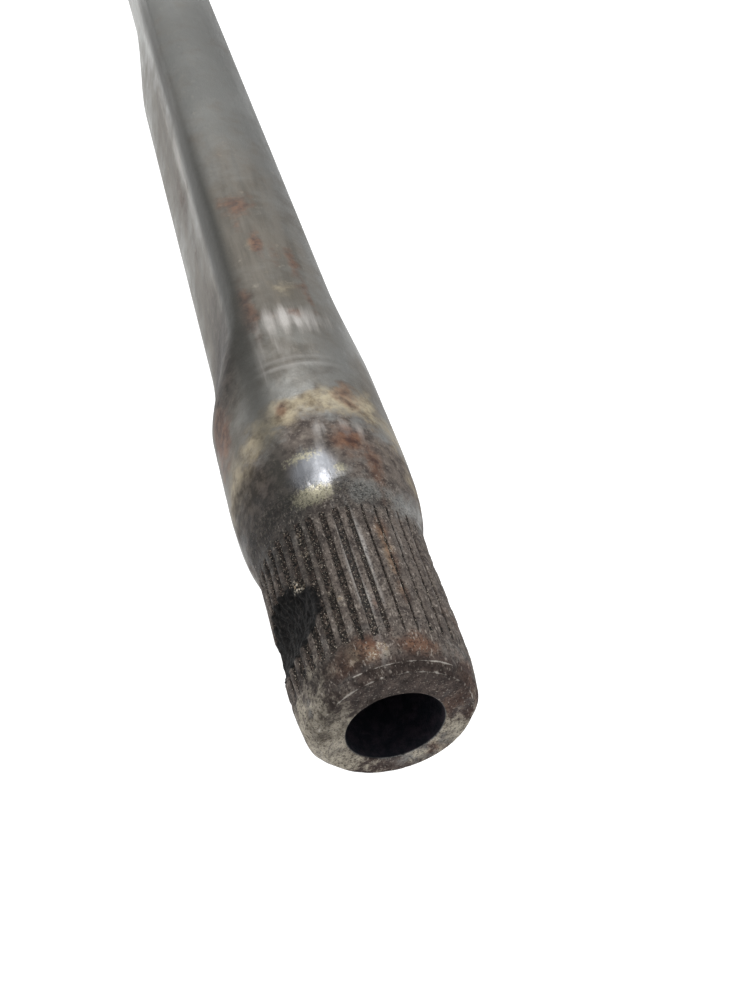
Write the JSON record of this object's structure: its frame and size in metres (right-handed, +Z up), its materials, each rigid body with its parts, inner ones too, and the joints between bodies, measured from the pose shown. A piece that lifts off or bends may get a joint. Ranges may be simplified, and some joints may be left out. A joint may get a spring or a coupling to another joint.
{
  "type": "telescoping steering shaft",
  "caption": "Telescoping steering intermediate shaft: hollow double-D tube with a swaged splined end, sliding inner bar, and a universal joint with a clamp yoke.",
  "frame": {"origin": "centre of the splined end's face, on the shaft axis", "axes": "+X along the shaft from the splined end to the universal joint, the tube's two flats face +Y and -Y, +Z up"},
  "size_m": [0.533, 0.0514, 0.0465],
  "materials": {
    "worn_tube_steel": "worn and rusty bare steel with old grease",
    "machined_steel": "drawn bright steel, oily",
    "forged_steel": "forged steel with a dark scale",
    "bearing_steel": "ground bearing steel",
    "zinc_steel": "dulled zinc plating",
    "spring_steel": "black oxide spring steel",
    "liner_plastic": "moulded acetal",
    "seal_rubber": "matt nitrile rubber"
  },
  "bodies": {
    "tube": {"outer_tube": "worn_tube_steel", "slide_liner": "liner_plastic", "mouth_cap": "zinc_steel", "wiper_seal": "seal_rubber"},
    "bar": {"inner_bar": "machined_steel", "weld_bead": "forged_steel", "shaft_yoke": "forged_steel", "bearing_cup_1": "bearing_steel", "bearing_cup_2": "bearing_steel", "needle_set_1": "bearing_steel", "needle_set_2": "bearing_steel", "cup_seal_1": "seal_rubber", "cup_seal_2": "seal_rubber", "snap_ring_1": "spring_steel", "snap_ring_2": "spring_steel"},
    "cross": {"cross": "bearing_steel"},
    "clamp": {"clamp_yoke": "forged_steel", "bearing_cup_3": "bearing_steel", "bearing_cup_4": "bearing_steel", "needle_set_3": "bearing_steel", "needle_set_4": "bearing_steel", "cup_seal_3": "seal_rubber", "cup_seal_4": "seal_rubber", "snap_ring_3": "spring_steel", "snap_ring_4": "spring_steel", "pinch_bolt": "zinc_steel", "lock_washer": "zinc_steel", "pinch_nut": "zinc_steel"}
  },
  "joints": [
    {"name": "telescope", "type": "slide", "parent": "tube", "child": "bar", "axis": [1, 0, 0], "range_m": [-0.022, 0.022]},
    {"name": "yoke_swing", "type": "hinge", "parent": "bar", "child": "cross", "pos_m": [0.472, 0, 0], "axis": [0, 0, 1], "range_deg": [-25, 25]},
    {"name": "clamp_swing", "type": "hinge", "parent": "cross", "child": "clamp", "pos_m": [0.472, 0, 0], "axis": [0, 1, 0], "range_deg": [-25, 25]}
  ]
}
